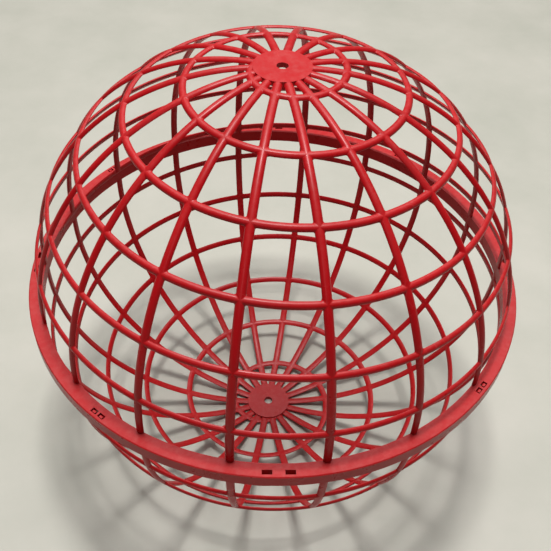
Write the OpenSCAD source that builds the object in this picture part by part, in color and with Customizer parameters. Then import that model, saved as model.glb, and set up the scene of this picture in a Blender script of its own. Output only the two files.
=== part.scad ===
// Lattice ball made of two snap-together halves.
// Origin at the centre of the ball, +Z up through the upper pole, millimetres.

/* [Ball] */
// Radius of the ball over the outside of its ribs
ball_r = 150; // [146:1:160]
// How far each half's domed shape is centred out from the pole axis
shoulder_out = 7.1; // [6.8:0.1:7.6]
// How far each half's domed shape is centred above the middle plane
shoulder_up = 8.7; // [8.2:0.1:9.2]

/* [Ribs] */
// Number of meridian ribs in each half
rib_count = 18; // [14:2:18]
// Width of a rib along the ball's surface
rib_w = 5; // [4:0.1:5.2]
// Depth of a rib towards the ball's centre
rib_t = 2; // [1.8:0.1:2]
// Radius of a rib's crowned outer face
rib_crown_r = 2.7; // [2.65:0.05:4]

/* [Spiral] */
// Width of the spiral bar along the ball's surface
spiral_w = 4.4; // [3.6:0.1:4.6]
// Depth of the spiral bar towards the ball's centre
spiral_t = 1.9; // [1.6:0.1:2]
// Radius of the spiral bar's crowned outer face
spiral_crown_r = 2.4; // [2.35:0.05:4]
// Angle that the spiral moves away from the pole in one turn
spiral_pitch = 14.91; // [14.8:0.01:15]
// Angle between the pole axis and the start of the upper half's spiral
upper_start = 2.9; // [2.7:0.1:3.1]
// Angle between the pole axis and the start of the lower half's spiral
lower_start = 1.3; // [1.1:0.1:1.5]
// Rib, counted from +X, where the spiral starts
spiral_start_rib = 8; // [0:1:13]

/* [Pole discs] */
// Radius of the flat disc at each pole
disc_r = 16; // [15:0.5:17]
// Thickness of the disc
disc_t = 3; // [2:0.1:4]
// Diameter of the hole through the disc
disc_hole_d = 6.4; // [4:0.1:10]

/* [Flanges] */
// How far the equator flanges reach outside the ribs
flange_out = 6.7; // [6.2:0.1:9]
// How far the equator flanges reach in from the ribs' outer faces
flange_in = 1.8; // [1.5:0.1:8]
// Height of one half's flange
flange_h = 4.3; // [3.5:0.1:5]
// Bevel along the flange's outer edge
flange_bevel = 0.5; // [0:0.1:1]

/* [Snap hooks] */
// Distance from the ribs' outer faces to the middle of the slots
slot_out = 3.3; // [3:0.1:3.6]
// Radial width of the windows and slots
slot_w = 2.75; // [2.5:0.05:3]
// Length of a slot that takes one hook
slot_l = 4.1; // [3.6:0.1:4.6]
// Length of a moulding window beside a pair of hooks
window_l = 5.6; // [4:0.1:7]
// Distance from the middle of a hook pair to a window's middle
window_offset = 6.2; // [5.5:0.1:8]
// Distance from the middle of a hook pair to one hook
hook_offset = 2.7; // [2.5:0.1:3]
// Width of one hook along the flange
hook_w = 2.2; // [1.5:0.1:2.6]
// Thickness of a hook's shank
hook_t = 1.2; // [0.9:0.1:1.4]
// How far a hook's barb stands out from its shank
hook_barb = 0.6; // [0.3:0.1:0.8]
// Gap between a hook's tip and the far face of the other flange
hook_recess = 0.25; // [0.1:0.05:0.6]

/* [Hidden] */
$fn = 96;
bay_angle = 360 / rib_count;
turn_count = 6;
arc_r = ball_r - shoulder_out;
disc_top_z = shoulder_up + sqrt(pow(arc_r, 2) - pow(disc_r - shoulder_out, 2));
slot_r = ball_r + slot_out;
// The lower half is turned over about this horizontal axis
flip_azimuth = 3.5 * bay_angle;
window_azimuths = [for (k = [0:3]) 90 * k];
slot_azimuths = [for (a = window_azimuths) 2 * flip_azimuth - a];
// Back of a hook's shank, out from the middle of its slot
hook_back = 0.9;
hook_h = flange_h - hook_recess;
barb_h = 1.1;
barb_tip_h = 0.75;
// Bays in which the spiral sinks into the flange after its last full turn
run_out_bays = 3;
// How far a stretch of the spiral is swept past its bay before it is trimmed
sweep_spare = 12;
overshoot = 1;
// Height that clears the top of the dome
dome_clear_h = ball_r + 2 * shoulder_up;

halves = ["upper", "lower"];
function two_digits(n) = n < 10 ? str("0", n) : str(n);
function rib_name(half, i) = str(half, "_rib_", two_digits(i + 1));
function turn_name(half, t) = str(half, "_spiral_turn_", t + 1);

// Section of a bar: flat sides and inside, crowned outside at x = 0
module bar_section(width, depth, crown_r) {
    intersection() {
        translate([-depth, -width / 2]) square([depth, width]);
        translate([-crown_r, 0]) circle(r = crown_r);
    }
}

module rib_section() {
    bar_section(rib_w, rib_t, rib_crown_r);
}

// Everything below the top of the flange
module below_flange_top() {
    cylinder(r = ball_r + flange_out + overshoot, h = flange_h);
}

// Column over the pole disc, where ribs and spiral give way to the disc
module disc_column() {
    cylinder(r = disc_r, h = dome_clear_h);
}

// One meridian rib at azimuth 0: an upright foot on the flange and an arc to the disc
module rib() {
    translate([ball_r, 0, flange_h])
        linear_extrude(height = shoulder_up - flange_h) rib_section();
    difference() {
        translate([shoulder_out, 0, shoulder_up])
            rotate([90, 0, 0])
                rotate_extrude(angle = 90)
                    translate([arc_r, 0]) rib_section();
        disc_column();
    }
}

// The dome's outside by slope, the angle between its normal and the pole axis: the normal's
// tilt, the distance from the axis and the height. Past 90 a slope counts down the upright foot.
function dome_tilt(slope) = min(slope, 90);
function dome_x(slope) = shoulder_out + arc_r * sin(dome_tilt(slope));
function dome_z(slope) =
    shoulder_up + arc_r * cos(dome_tilt(slope)) - arc_r * max(slope - 90, 0) * PI / 180;

// Space between two neighbouring ribs' flat sides, centred on azimuth 0
module bay_space() {
    reach = 2 * ball_r;
    apex = rib_w / 2 / sin(bay_angle / 2);
    side = reach * tan(bay_angle / 2);
    linear_extrude(height = dome_clear_h)
        polygon([[apex, 0], [apex + reach, side], [apex + reach, -side]]);
}

// Stretch of the spiral at azimuth 0, crossing it where the dome has this slope
module spiral_stretch(slope) {
    x = dome_x(slope);
    tilt = dome_tilt(slope);
    lean = atan(arc_r * spiral_pitch / 360 / x);
    sweep = bay_angle + sweep_spare;
    translate([x, 0, dome_z(slope)])
        rotate(a = -lean, v = [sin(tilt), 0, cos(tilt)])
            translate([-x, 0, 0])
                rotate([0, 0, -sweep / 2])
                    rotate_extrude(angle = sweep)
                        translate([x, 0])
                            rotate(90 - tilt)
                                bar_section(spiral_w, spiral_t, spiral_crown_r);
}

// Stretch of the spiral in bay n, counted from the spiral's start, between its two ribs
module spiral_bay(start, n) {
    slope = start + spiral_pitch * (n + 0.5) / rib_count;
    rotate([0, 0, (spiral_start_rib + n + 0.5) * bay_angle])
        difference() {
            intersection() {
                spiral_stretch(slope);
                bay_space();
            }
            if (slope < 10) disc_column();
            if (slope > 80) below_flange_top();
        }
}

// One turn of the spiral; the last one runs out into the flange
module spiral_turn(start, t) {
    last_bay = (t + 1) * rib_count - 1 + (t == turn_count - 1 ? run_out_bays : 0);
    for (n = [t * rib_count:last_bay]) spiral_bay(start, n);
}

module pole_disc() {
    translate([0, 0, disc_top_z - disc_t])
        difference() {
            cylinder(r = disc_r, h = disc_t);
            translate([0, 0, -overshoot])
                cylinder(d = disc_hole_d, h = disc_t + 2 * overshoot);
        }
}

// Pair of rectangular openings through the flange, side by side at azimuth 0
module flange_pair(length, offset_y) {
    for (side = [-1, 1])
        translate([slot_r - slot_w / 2, side * offset_y - length / 2, -overshoot])
            cube([slot_w, length, flange_h + 2 * overshoot]);
}

module flange() {
    inner_r = ball_r - flange_in;
    outer_r = ball_r + flange_out;
    difference() {
        rotate_extrude()
            polygon([
                [inner_r, 0],
                [outer_r, 0],
                [outer_r, flange_h - flange_bevel],
                [outer_r - flange_bevel, flange_h],
                [inner_r, flange_h]
            ]);
        for (a = window_azimuths) rotate([0, 0, a]) flange_pair(window_l, window_offset);
        for (a = slot_azimuths) rotate([0, 0, a]) flange_pair(slot_l, hook_offset);
    }
}

// One hook hanging below the mating face, barb towards the ball's centre
module snap_hook() {
    front = hook_back - hook_t;
    translate([slot_r, hook_w / 2, 0])
        rotate([90, 0, 0])
            linear_extrude(height = hook_w)
                polygon([
                    [front, 0],
                    [front, barb_h - hook_h],
                    [front - hook_barb, barb_tip_h - hook_h],
                    [front, -hook_h],
                    [hook_back, -hook_h],
                    [hook_back, 0]
                ]);
}

module snap_hooks() {
    for (a = window_azimuths, side = [-1, 1])
        rotate([0, 0, a])
            translate([0, side * hook_offset, 0]) snap_hook();
}

// Puts a piece of the upper half in its half of the ball
module place(half) {
    if (half == "upper") children();
    else rotate(a = 180, v = [cos(flip_azimuth), sin(flip_azimuth), 0]) children();
}

for (half = halves) place(half) {
    start = half == "upper" ? upper_start : lower_start;
    color("firebrick") flange();
    color("firebrick") pole_disc();
    color("firebrick") snap_hooks();
    for (t = [0:turn_count - 1])
        color("firebrick") spiral_turn(start, t);
    for (i = [0:rib_count - 1])
        color("firebrick") rotate([0, 0, i * bay_angle]) rib();
}
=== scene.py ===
"""Lattice ball: two snap-together halves in red moulded plastic, standing on a pale floor.

Units are metres, and +Z is up through the upper pole. The CAD frame gives the outer sizes and the
places. What it doesn't tell, such as a bar's section and the lie of the spiral, is repeated from
the CAD's parameters. Ribs and spiral are drawn again over the CAD ones, as mouldings whose
crossings flow together.
"""

import math

import bpy
from mathutils import Matrix, Vector


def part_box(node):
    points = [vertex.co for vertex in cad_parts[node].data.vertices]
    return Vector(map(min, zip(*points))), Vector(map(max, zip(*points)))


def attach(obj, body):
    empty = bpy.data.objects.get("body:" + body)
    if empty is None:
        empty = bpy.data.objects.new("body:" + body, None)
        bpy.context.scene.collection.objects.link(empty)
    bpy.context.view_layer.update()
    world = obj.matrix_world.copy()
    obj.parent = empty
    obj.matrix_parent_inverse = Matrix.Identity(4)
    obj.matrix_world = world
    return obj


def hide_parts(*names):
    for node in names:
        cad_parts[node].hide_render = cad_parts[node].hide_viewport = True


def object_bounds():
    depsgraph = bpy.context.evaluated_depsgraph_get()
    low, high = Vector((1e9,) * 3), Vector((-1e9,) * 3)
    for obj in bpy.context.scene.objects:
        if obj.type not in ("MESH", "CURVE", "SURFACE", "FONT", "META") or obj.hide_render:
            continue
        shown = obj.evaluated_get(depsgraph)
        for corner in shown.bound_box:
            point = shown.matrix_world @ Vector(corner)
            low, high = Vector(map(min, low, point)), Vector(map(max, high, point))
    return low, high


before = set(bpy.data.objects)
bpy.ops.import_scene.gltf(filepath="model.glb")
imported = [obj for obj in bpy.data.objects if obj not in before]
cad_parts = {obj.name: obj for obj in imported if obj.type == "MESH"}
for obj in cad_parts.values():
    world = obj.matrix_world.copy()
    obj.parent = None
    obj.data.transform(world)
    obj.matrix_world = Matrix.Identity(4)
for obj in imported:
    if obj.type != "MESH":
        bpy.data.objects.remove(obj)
cad_low, cad_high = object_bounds()


def srgb(red, green, blue):
    """A colour given as a screen shows it, 0 to 255, in the linear values that shaders take."""
    levels = [c / 255 for c in (red, green, blue)]
    linear = [c / 12.92 if c <= 0.04045 else ((c + 0.055) / 1.055) ** 2.4 for c in levels]
    return (*linear, 1.0)


# Sizes that come from the frame
rib_low, rib_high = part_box("upper_rib_01")
_disc_low, disc_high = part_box("upper_pole_disc")
_flange_low, flange_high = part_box("upper_flange")
FLOOR_Z = cad_low.z
BALL_RADIUS = rib_high.x
RIB_HALF_WIDTH = (rib_high.y - rib_low.y) / 2
DISC_RADIUS = disc_high.x
DISC_TOP = disc_high.z
FLANGE_TOP = flange_high.z

# The dome's outline in each half: an arc whose centre stands off the pole axis and the middle plane
SHOULDER_OUT = 0.0071
SHOULDER_UP = 0.0087
ARC_RADIUS = BALL_RADIUS - SHOULDER_OUT

# The bars' crowned sections and the lie of the spiral
RIB_CROWN = 0.0027
RIB_DEPTH = 0.0020
SPIRAL_HALF_WIDTH = 0.0022
SPIRAL_CROWN = 0.0024
SPIRAL_DEPTH = 0.0019
BACK_ROUND = 0.0003
RIBS = 18
TURNS = 6
BAY = 2 * math.pi / RIBS
START_RIB = 8
TURN_SLOPE = math.radians(14.91)
START_SLOPE = {"upper": math.radians(2.9), "lower": math.radians(1.3)}
# The lower half is the upper one turned over about this horizontal axis
FLIP_AZIMUTH = 3.5 * BAY

# A crossing's corners are rounded, and then each bar runs on a little way as a plain leg.
# Near the pole both are held to a share of half the gap between the ribs.
CORNER_ROUND = 0.0009
CORNER_GAP_SHARE = 0.55
REACH_GAP_SHARE = 0.9
LEG_LENGTH = 0.0005

# Bars inside a disc or a flange stay this far under the disc's top and over the mating face
DISC_COVER = 0.00003
FLANGE_COVER = 0.0002
# How far a rib runs on into the disc and into the flange
RIB_END_SUNK = 0.0004
# The spiral ends once its middle is this many half widths below the flange's top
SPIRAL_END_SUNK = 1.05
# A crossing is drawn only if this many times its reach stays clear of the flange, and of the disc
# with a gap to spare
CROSSING_ROOM = 1.1
CROSSING_DISC_GAP = 0.0002

# How finely the bars are drawn
CROWN_STEPS = 7
LEG_STEPS = 2
CORNER_STEPS = 8
RIB_STEPS = 14
SPIRAL_STEPS = 10
# Rounds in which a point's run and azimuth settle together
PLACE_ROUNDS = 3
# Points that round alike on a grid this fine are one point
POINTS_PER_METRE = 2e7

# Bevels along the sharp edges of the CAD's own nodes
PLATE_EDGE = 0.00035
HOOK_EDGE = 0.00012
SHARP_ANGLE = math.radians(35)


# ---------------------------------------------------------------- materials


def new_material(name):
    """A material with an empty tree, and its nodes and links."""
    material = bpy.data.materials.new(name)
    material.use_nodes = True
    tree = material.node_tree
    tree.nodes.clear()
    return material, tree.nodes, tree.links


def noise(nodes, links, place, scale, detail=2.0, roughness=0.5):
    """Noise in the object's own metres. Returns its value, from 0 to 1."""
    texture = nodes.new("ShaderNodeTexNoise")
    texture.inputs["Scale"].default_value = scale
    texture.inputs["Detail"].default_value = detail
    texture.inputs["Roughness"].default_value = roughness
    links.new(place, texture.inputs["Vector"])
    return texture.outputs["Fac"]


def spread(nodes, links, value, within, onto=(0, 1)):
    """Maps one range onto another, and no further."""
    remap = nodes.new("ShaderNodeMapRange")
    links.new(value, remap.inputs["Value"])
    remap.inputs["From Min"].default_value = within[0]
    remap.inputs["From Max"].default_value = within[1]
    remap.inputs["To Min"].default_value = onto[0]
    remap.inputs["To Max"].default_value = onto[1]
    return remap.outputs["Result"]


def feed(links, value, socket):
    """Links a socket's value, or sets a constant."""
    if isinstance(value, bpy.types.NodeSocket):
        links.new(value, socket)
    else:
        socket.default_value = value


def math_node(nodes, links, operation, first, second):
    node = nodes.new("ShaderNodeMath")
    node.operation = operation
    feed(links, first, node.inputs[0])
    feed(links, second, node.inputs[1])
    return node.outputs["Value"]


# Where a mix node keeps its colours, among the sockets that it has for other types of data
COLOUR_A = 6
COLOUR_B = 7
COLOUR_RESULT = 2


def mix_colour(nodes, links, share, first, second):
    mix = nodes.new("ShaderNodeMix")
    mix.data_type = "RGBA"
    links.new(share, mix.inputs["Factor"])
    feed(links, first, mix.inputs[COLOUR_A])
    feed(links, second, mix.inputs[COLOUR_B])
    return mix.outputs[COLOUR_RESULT]


def principled_material(name):
    """A material with one shader. Also returns its nodes, links, shader and object place."""
    material, nodes, links = new_material(name)
    output = nodes.new("ShaderNodeOutputMaterial")
    shader = nodes.new("ShaderNodeBsdfPrincipled")
    links.new(shader.outputs["BSDF"], output.inputs["Surface"])
    place = nodes.new("ShaderNodeTexCoord").outputs["Object"]
    return material, nodes, links, shader, place


def bump(nodes, links, height, strength, distance):
    """A bump node over a height. The distance is in metres."""
    node = nodes.new("ShaderNodeBump")
    node.inputs["Strength"].default_value = strength
    node.inputs["Distance"].default_value = distance
    links.new(height, node.inputs["Height"])
    return node


# Colours of the plastic and of the floor
DEEP_RED = srgb(160, 13, 19)
PALE_RED = srgb(170, 16, 22)
SPECKLE_RED = srgb(196, 44, 46)
SCUFF_RED = srgb(214, 92, 88)
# Pale colour laid on upward faces: partly dust, and partly a painted sheen of the light from above
PALE_DUST_AND_SHEEN = srgb(205, 168, 160)
DARK_STONE = srgb(166, 165, 153)
PALE_STONE = srgb(179, 176, 165)

# Scales of the patterns in the plastic and the floor, in cells to the metre
CLOUD_SCALE = 22
SPECKLE_SCALE = 1100
SCUFF_LINE_SCALE = 170
SCUFF_STRETCH = (1, 1, 0.35)
SCUFF_PATCH_SCALE = 38
DUST_AND_SHEEN_SCALE = 320
GLOSS_SCALE = 75
WAVE_SCALE = 130
GRAIN_SCALE = 1500
STONE_SCALE = 9

# How much of the colour each effect takes at its strongest, and how much rougher it makes it
SPECKLE_SHARE = 0.12
SCUFF_SHARE = 0.22
DUST_AND_SHEEN_SHARE = 0.09
SCUFF_ROUGHNESS = 0.2
DUST_ROUGHNESS = 0.08
ROUGHNESS_LOW = 0.26
ROUGHNESS_HIGH = 0.36


def red_plastic():
    """Moulded polypropylene: even red, semi-gloss, slightly uneven, with dust and a painted sheen
    on top, and scuffs.
    """
    material, nodes, links, shader, place = principled_material("red_plastic")

    # The dye is a little uneven over centimetres and faintly speckled
    clouds = noise(nodes, links, place, CLOUD_SCALE, detail=3)
    cloud_share = spread(nodes, links, clouds, within=(0.35, 0.65))
    red = mix_colour(nodes, links, cloud_share, DEEP_RED, PALE_RED)
    speckle = noise(nodes, links, place, SPECKLE_SCALE)
    speckle_share = spread(nodes, links, speckle, within=(0.62, 0.75), onto=(0, SPECKLE_SHARE))
    red = mix_colour(nodes, links, speckle_share, red, SPECKLE_RED)

    # Scuffs are pale and matt, in sparse patches of fine lines drawn out along the pole axis
    lines = nodes.new("ShaderNodeTexVoronoi")
    lines.feature = "DISTANCE_TO_EDGE"
    lines.inputs["Scale"].default_value = SCUFF_LINE_SCALE
    drawn_out = nodes.new("ShaderNodeVectorMath")
    drawn_out.operation = "MULTIPLY"
    drawn_out.inputs[1].default_value = SCUFF_STRETCH
    links.new(place, drawn_out.inputs[0])
    links.new(drawn_out.outputs["Vector"], lines.inputs["Vector"])
    thin = spread(nodes, links, lines.outputs["Distance"], within=(0.0, 0.035), onto=(1, 0))
    patches = noise(nodes, links, place, SCUFF_PATCH_SCALE, detail=4)
    patches = spread(nodes, links, patches, within=(0.58, 0.7))
    scuffs = math_node(nodes, links, "MULTIPLY", thin, patches)
    scuff_share = math_node(nodes, links, "MULTIPLY", scuffs, SCUFF_SHARE)
    red = mix_colour(nodes, links, scuff_share, red, SCUFF_RED)

    # A pale layer lies on what faces up: partly thin dust, and partly a painted sheen of the light
    # from above
    normal = nodes.new("ShaderNodeNewGeometry").outputs["Normal"]
    parts = nodes.new("ShaderNodeSeparateXYZ")
    links.new(normal, parts.inputs["Vector"])
    upward = spread(nodes, links, parts.outputs["Z"], within=(0.6, 1.0))
    dust_and_sheen_patches = noise(nodes, links, place, DUST_AND_SHEEN_SCALE, detail=4)
    dust_and_sheen_patches = spread(nodes, links, dust_and_sheen_patches, within=(0.4, 0.8), onto=(0.3, 1))
    dust_and_sheen = math_node(nodes, links, "MULTIPLY", upward, dust_and_sheen_patches)
    dust_and_sheen_share = math_node(nodes, links, "MULTIPLY", dust_and_sheen, DUST_AND_SHEEN_SHARE)
    red = mix_colour(nodes, links, dust_and_sheen_share, red, PALE_DUST_AND_SHEEN)
    links.new(red, shader.inputs["Base Color"])

    rough = noise(nodes, links, place, GLOSS_SCALE, detail=3)
    rough = spread(nodes, links, rough, within=(0.35, 0.7), onto=(ROUGHNESS_LOW, ROUGHNESS_HIGH))
    for effect, rougher in ((scuffs, SCUFF_ROUGHNESS), (dust_and_sheen, DUST_ROUGHNESS)):
        added = math_node(nodes, links, "MULTIPLY", effect, rougher)
        rough = math_node(nodes, links, "ADD", rough, added)
    links.new(rough, shader.inputs["Roughness"])
    shader.inputs["IOR"].default_value = 1.45
    shader.inputs["Specular IOR Level"].default_value = 0.22

    # Shrinkage leaves the faces faintly wavy, under a fine moulded grain
    wave_height = noise(nodes, links, place, WAVE_SCALE, detail=1)
    waves = bump(nodes, links, wave_height, strength=0.12, distance=0.0003)
    grain_height = noise(nodes, links, place, GRAIN_SCALE, detail=2)
    grain = bump(nodes, links, grain_height, strength=0.12, distance=0.00003)
    links.new(waves.outputs["Normal"], grain.inputs["Normal"])
    links.new(grain.outputs["Normal"], shader.inputs["Normal"])
    return material


def pale_floor():
    """A plain pale floor with a faint stone tone."""
    material, nodes, links, shader, place = principled_material("pale_floor")
    tone = noise(nodes, links, place, STONE_SCALE, detail=6, roughness=0.6)
    tone = spread(nodes, links, tone, within=(0.3, 0.7))
    colour = mix_colour(nodes, links, tone, DARK_STONE, PALE_STONE)
    links.new(colour, shader.inputs["Base Color"])
    shader.inputs["Roughness"].default_value = 0.5
    return material


# ------------------------------------------------------------- dome surface


def dome_tilt(run):
    """Tilt of the dome's normal from the pole axis, at a length along the outline from the pole."""
    return min(run / ARC_RADIUS, math.pi / 2)


def dome_radius(run):
    """Distance of the dome from the pole axis."""
    return SHOULDER_OUT + ARC_RADIUS * math.sin(dome_tilt(run))


def dome_point(run, azimuth, lift):
    """Point on the upper half's dome, or lift above it."""
    tilt = dome_tilt(run)
    foot = max(0, run - ARC_RADIUS * math.pi / 2)
    radius = SHOULDER_OUT + (ARC_RADIUS + lift) * math.sin(tilt)
    height = SHOULDER_UP + (ARC_RADIUS + lift) * math.cos(tilt) - foot
    if radius < DISC_RADIUS:
        height = min(height, DISC_TOP - DISC_COVER)
    height = max(height, FLANGE_COVER)
    return Vector((radius * math.cos(azimuth), radius * math.sin(azimuth), height))


DISC_RUN = ARC_RADIUS * math.asin((DISC_RADIUS - SHOULDER_OUT) / ARC_RADIUS)
FLANGE_RUN = ARC_RADIUS * math.pi / 2 + SHOULDER_UP - FLANGE_TOP


class Spiral:
    """The spiral bar of one half. A step is a bay, counted from the spiral's start."""

    def __init__(self, start_slope):
        self.start = start_slope

    def run(self, step):
        return ARC_RADIUS * (self.start + TURN_SLOPE * step / RIBS)

    def sunk_step(self):
        """Step at which the whole bar has sunk into the flange."""
        slope = (FLANGE_RUN + SPIRAL_END_SUNK * SPIRAL_HALF_WIDTH) / ARC_RADIUS
        return (slope - self.start) / TURN_SLOPE * RIBS

    def azimuth(self, step):
        return (START_RIB + step) * BAY

    def lean(self, step):
        """Cosine of the angle by which the bar leans off level."""
        rise = ARC_RADIUS * TURN_SLOPE / (2 * math.pi) / dome_radius(self.run(step))
        return math.cos(math.atan(rise))

    def place(self, step, across):
        """Run and azimuth of a point this far across the bar, downwards."""
        return self.run(step) + across / self.lean(step), self.azimuth(step)

    def crossing_place(self, step, along, across):
        """Run and azimuth of a point near the crossing with a rib, from the crossing's middle."""
        near = along / dome_radius(self.run(step))
        for _ in range(PLACE_ROUNDS):
            run, _azimuth = self.place(step + near / BAY, across)
            near = along / dome_radius(run)
        return run, self.azimuth(step) + near


def section_rows():
    """Rows round half a bar's section, from the crest over the side to the back's middle.

    Each is the share of the half width, and the lift of a rib and of the spiral there.
    """
    rows = []
    rib_edge = math.asin(RIB_HALF_WIDTH / RIB_CROWN)
    for k in range(CROWN_STEPS + 1):
        share = math.sin(rib_edge * k / CROWN_STEPS) / math.sin(rib_edge)
        rib_lift = math.sqrt(RIB_CROWN**2 - (share * RIB_HALF_WIDTH) ** 2) - RIB_CROWN
        spiral_lift = math.sqrt(SPIRAL_CROWN**2 - (share * SPIRAL_HALF_WIDTH) ** 2) - SPIRAL_CROWN
        rows.append((share, rib_lift, spiral_lift))
    inset = 1 - BACK_ROUND / RIB_HALF_WIDTH
    rows.append((1, BACK_ROUND - RIB_DEPTH, BACK_ROUND - SPIRAL_DEPTH))
    rows.append((inset, -RIB_DEPTH, -SPIRAL_DEPTH))
    rows.append((0, -RIB_DEPTH, -SPIRAL_DEPTH))
    return rows


ROWS = section_rows()


class Skin:
    """Vertices and faces of one piece. Points that coincide are shared."""

    def __init__(self):
        self.points = []
        self.faces = []
        self.known = {}

    def vertex(self, point):
        key = tuple(round(c * POINTS_PER_METRE) for c in point)
        if key not in self.known:
            self.known[key] = len(self.points)
            self.points.append(point)
        return self.known[key]

    def grid(self, lines, flip):
        """Faces between successive lines of points. Corners that coincide are dropped."""
        indices = [[self.vertex(p) for p in line] for line in lines]
        for first, second in zip(indices, indices[1:]):
            for a, b, c, d in zip(first, first[1:], second[1:], second):
                square = (a, b, c, d)
                corners = [v for i, v in enumerate(square) if v != square[i - 1]]
                if len(set(corners)) > 2:
                    self.faces.append(corners[::-1] if flip else corners)

    def build(self, name, half, replaced):
        """Adds the piece to its half, in place of a CAD node."""
        mesh = bpy.data.meshes.new(name)
        turn = Matrix.Identity(3)
        if half == "lower":
            axis = Vector((math.cos(FLIP_AZIMUTH), math.sin(FLIP_AZIMUTH), 0))
            turn = Matrix.Rotation(math.pi, 3, axis)
        mesh.from_pydata([turn @ p for p in self.points], [], self.faces)
        mesh.validate()
        mesh.shade_smooth()
        piece = bpy.data.objects.new(name, mesh)
        bpy.context.scene.collection.objects.link(piece)
        mesh.materials.append(plastic)
        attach(piece, half + "_half")
        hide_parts(replaced)


# ------------------------------------------------------------------- pieces


def corner_curve(half_u, half_v, reach_u, reach_v, radius):
    """Outline of one corner of a crossing, from the rib's leg round to the spiral's leg.

    Each point is the distance along the spiral, the distance along the rib, and the share that the
    spiral's section has in the shape there.
    """
    curve = []
    for k in range(LEG_STEPS):
        curve.append((half_u, reach_v + (half_v + radius - reach_v) * k / LEG_STEPS, 0))
    for k in range(CORNER_STEPS + 1):
        turn = math.pi / 2 * k / CORNER_STEPS
        u = half_u + radius * (1 - math.cos(turn))
        v = half_v + radius * (1 - math.sin(turn))
        curve.append((u, v, k / CORNER_STEPS))
    for k in range(1, LEG_STEPS + 1):
        u = half_u + radius + (reach_u - half_u - radius) * k / LEG_STEPS
        curve.append((u, half_v, 1))
    return curve


def crossing_reach(spiral, step):
    """Corner radius at a crossing, and how far it reaches along the spiral and along the rib."""
    gap = dome_radius(spiral.run(step)) * BAY / 2 - RIB_HALF_WIDTH
    radius = min(CORNER_ROUND, CORNER_GAP_SHARE * gap)
    reach_u = RIB_HALF_WIDTH + min(radius + LEG_LENGTH, REACH_GAP_SHARE * gap)
    reach_v = SPIRAL_HALF_WIDTH + radius + LEG_LENGTH
    return radius, reach_u, reach_v


def patched(spiral, step):
    """Whether the crossing stands clear of the pole disc and the flange."""
    _radius, _reach_u, reach_v = crossing_reach(spiral, step)
    run = spiral.run(step)
    clear_of_disc = run - reach_v * CROSSING_ROOM > DISC_RUN + CROSSING_DISC_GAP
    return clear_of_disc and run + reach_v * CROSSING_ROOM < FLANGE_RUN


def add_crossing(skin, spiral, step):
    radius, reach_u, reach_v = crossing_reach(spiral, step)
    for side_u in (-1, 1):
        for side_v in (-1, 1):
            lines = []
            for share, rib_lift, spiral_lift in ROWS:
                half_u = RIB_HALF_WIDTH * share
                half_v = SPIRAL_HALF_WIDTH * share
                line = []
                for u, v, blend in corner_curve(half_u, half_v, reach_u, reach_v, radius * share):
                    run, azimuth = spiral.crossing_place(step, side_u * u, side_v * v)
                    lift = rib_lift + (spiral_lift - rib_lift) * blend
                    line.append(dome_point(run, azimuth, lift))
                lines.append(line)
            skin.grid(lines, side_u * side_v < 0)


def add_rib_stretch(skin, start_place, end_place):
    """Rib between two ends. Each end gives run and azimuth at a distance from the rib's middle."""
    for side in (-1, 1):
        lines = []
        for share, rib_lift, _spiral_lift in ROWS:
            u = side * share * RIB_HALF_WIDTH
            first, last = start_place(u), end_place(u)
            middle = first[1] - u / dome_radius(first[0])
            places = [first]
            for k in range(1, RIB_STEPS):
                run = first[0] + (last[0] - first[0]) * k / RIB_STEPS
                places.append((run, middle + u / dome_radius(run)))
            places.append(last)
            lines.append([dome_point(run, azimuth, rib_lift) for run, azimuth in places])
        skin.grid(lines, side > 0)


def rib_piece(half, spiral, index):
    """One rib with its crossings, from inside the pole disc down into the flange."""
    skin = Skin()
    azimuth = index * BAY
    steps = [s for s in range((TURNS + 1) * RIBS) if (START_RIB + s) % RIBS == index]

    def plain_end(run):
        return lambda u: (run, azimuth + u / dome_radius(run))

    def crossing_end(step, side):
        _radius, _reach_u, reach_v = crossing_reach(spiral, step)
        turns = (START_RIB + step - index) // RIBS * 2 * math.pi

        def end(u):
            run, place = spiral.crossing_place(step, u, side * reach_v)
            return run, place - turns

        return end

    here = plain_end(DISC_RUN - RIB_END_SUNK)
    for step in steps:
        if patched(spiral, step):
            add_rib_stretch(skin, here, crossing_end(step, -1))
            add_crossing(skin, spiral, step)
            here = crossing_end(step, 1)
    add_rib_stretch(skin, here, plain_end(FLANGE_RUN + RIB_END_SUNK))
    name = f"{half}_rib_{index + 1:02d}"
    skin.build(name + "_moulded", half, name)


def spiral_end(spiral, step, side, across):
    """Run and azimuth where the spiral ends at a rib: on side 1 after it, on side -1 before it."""
    if patched(spiral, step):
        _radius, reach_u, _reach_v = crossing_reach(spiral, step)
        return spiral.crossing_place(step, side * reach_u, across)
    return spiral.place(min(step, spiral.sunk_step()), across)


def spiral_piece(half, spiral, turn):
    """One turn of the spiral between its crossings. Where it meets disc or flange it runs plain."""
    skin = Skin()
    last = math.ceil(spiral.sunk_step()) if turn == TURNS - 1 else (turn + 1) * RIBS
    for step in range(turn * RIBS, last):
        for side in (-1, 1):
            lines = []
            for share, _rib_lift, spiral_lift in ROWS:
                v = side * share * SPIRAL_HALF_WIDTH
                _run, first = spiral_end(spiral, step, 1, v)
                _run, final = spiral_end(spiral, step + 1, -1, v)
                line = []
                for k in range(SPIRAL_STEPS + 1):
                    azimuth = first + (final - first) * k / SPIRAL_STEPS
                    run, _azimuth = spiral.place(azimuth / BAY - START_RIB, v)
                    line.append(dome_point(run, azimuth, spiral_lift))
                lines.append(line)
            skin.grid(lines, side < 0)
    name = f"{half}_spiral_turn_{turn + 1}"
    skin.build(name + "_moulded", half, name)


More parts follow.
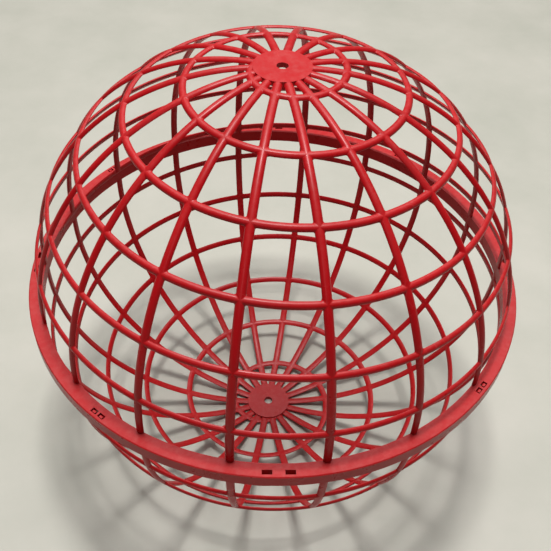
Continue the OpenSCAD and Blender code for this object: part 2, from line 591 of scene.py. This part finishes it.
def soften_edges(node, width):
    """Small moulded radii along a CAD node's sharp edges."""
    bevel = node.modifiers.new("moulded_edges", "BEVEL")
    bevel.width = width
    bevel.segments = 2
    bevel.limit_method = "ANGLE"
    bevel.angle_limit = SHARP_ANGLE
    bevel.harden_normals = True


plastic = red_plastic()
for name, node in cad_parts.items():
    node.data.materials.clear()
    node.data.materials.append(plastic)
    if name.endswith(("flange", "pole_disc")):
        soften_edges(node, PLATE_EDGE)
    if name.endswith("hooks"):
        soften_edges(node, HOOK_EDGE)

for half in ("upper", "lower"):
    half_spiral = Spiral(START_SLOPE[half])
    for rib_index in range(RIBS):
        rib_piece(half, half_spiral, rib_index)
    for turn in range(TURNS):
        spiral_piece(half, half_spiral, turn)


# -------------------------------------------------------------------- stage


def add_floor():
    """A plain floor under the lower pole disc, much wider than the view."""
    size = 40 * BALL_RADIUS
    bpy.ops.mesh.primitive_plane_add(size=size, location=(0, 0, FLOOR_Z))
    floor = bpy.context.object
    floor.name = "floor"
    floor.data.materials.append(pale_floor())


def add_area_light(name, azimuth, elevation, distance, size, power):
    """A square soft light aimed at the ball's centre, in degrees, metres and watts.

    Azimuth 0 is the camera's side.
    """
    a, e = math.radians(azimuth), math.radians(elevation)
    direction = Vector((math.sin(a) * math.cos(e), -math.cos(a) * math.cos(e), math.sin(e)))
    place = direction * distance
    data = bpy.data.lights.new(name, "AREA")
    data.energy = power
    data.size = size
    light = bpy.data.objects.new(name, data)
    light.location = place
    light.rotation_mode = "QUATERNION"
    light.rotation_quaternion = (-place).to_track_quat("-Z", "Y")
    bpy.context.scene.collection.objects.link(light)


def add_world():
    """A faint even white light from everywhere."""
    world = bpy.data.worlds.new("studio")
    world.use_nodes = True
    background = world.node_tree.nodes["Background"]
    background.inputs["Color"].default_value = (1, 1, 1, 1)
    background.inputs["Strength"].default_value = 0.07
    bpy.context.scene.world = world


def add_camera():
    """The photograph's viewpoint: well above the ball, looking down at its centre."""
    azimuth = math.radians(-92.63)
    elevation = math.radians(45.20)
    roll = math.radians(2.424)
    distance = 3.473 * BALL_RADIUS
    outward = Vector(
        (
            math.cos(azimuth) * math.cos(elevation),
            math.sin(azimuth) * math.cos(elevation),
            math.sin(elevation),
        )
    )
    data = bpy.data.cameras.new("camera")
    data.sensor_width = 36
    data.lens = 51.50
    data.shift_x = 0.0028
    data.shift_y = -0.0124
    data.clip_start = 0.01
    data.clip_end = 50
    camera = bpy.data.objects.new("camera", data)
    camera.location = outward * distance
    camera.rotation_mode = "QUATERNION"
    level = (-outward).to_track_quat("-Z", "Y")
    camera.rotation_quaternion = level @ Matrix.Rotation(roll, 3, "Z").to_quaternion()
    bpy.context.scene.collection.objects.link(camera)
    bpy.context.scene.camera = camera


add_floor()
add_world()
add_area_light("key", azimuth=180, elevation=87, distance=2.4, size=0.45, power=58)
add_area_light("ceiling", azimuth=175, elevation=66, distance=2.6, size=2.4, power=54)
add_area_light("fill", azimuth=-10, elevation=38, distance=2.6, size=0.9, power=4)
add_camera()
bpy.context.scene.view_settings.view_transform = "Standard"
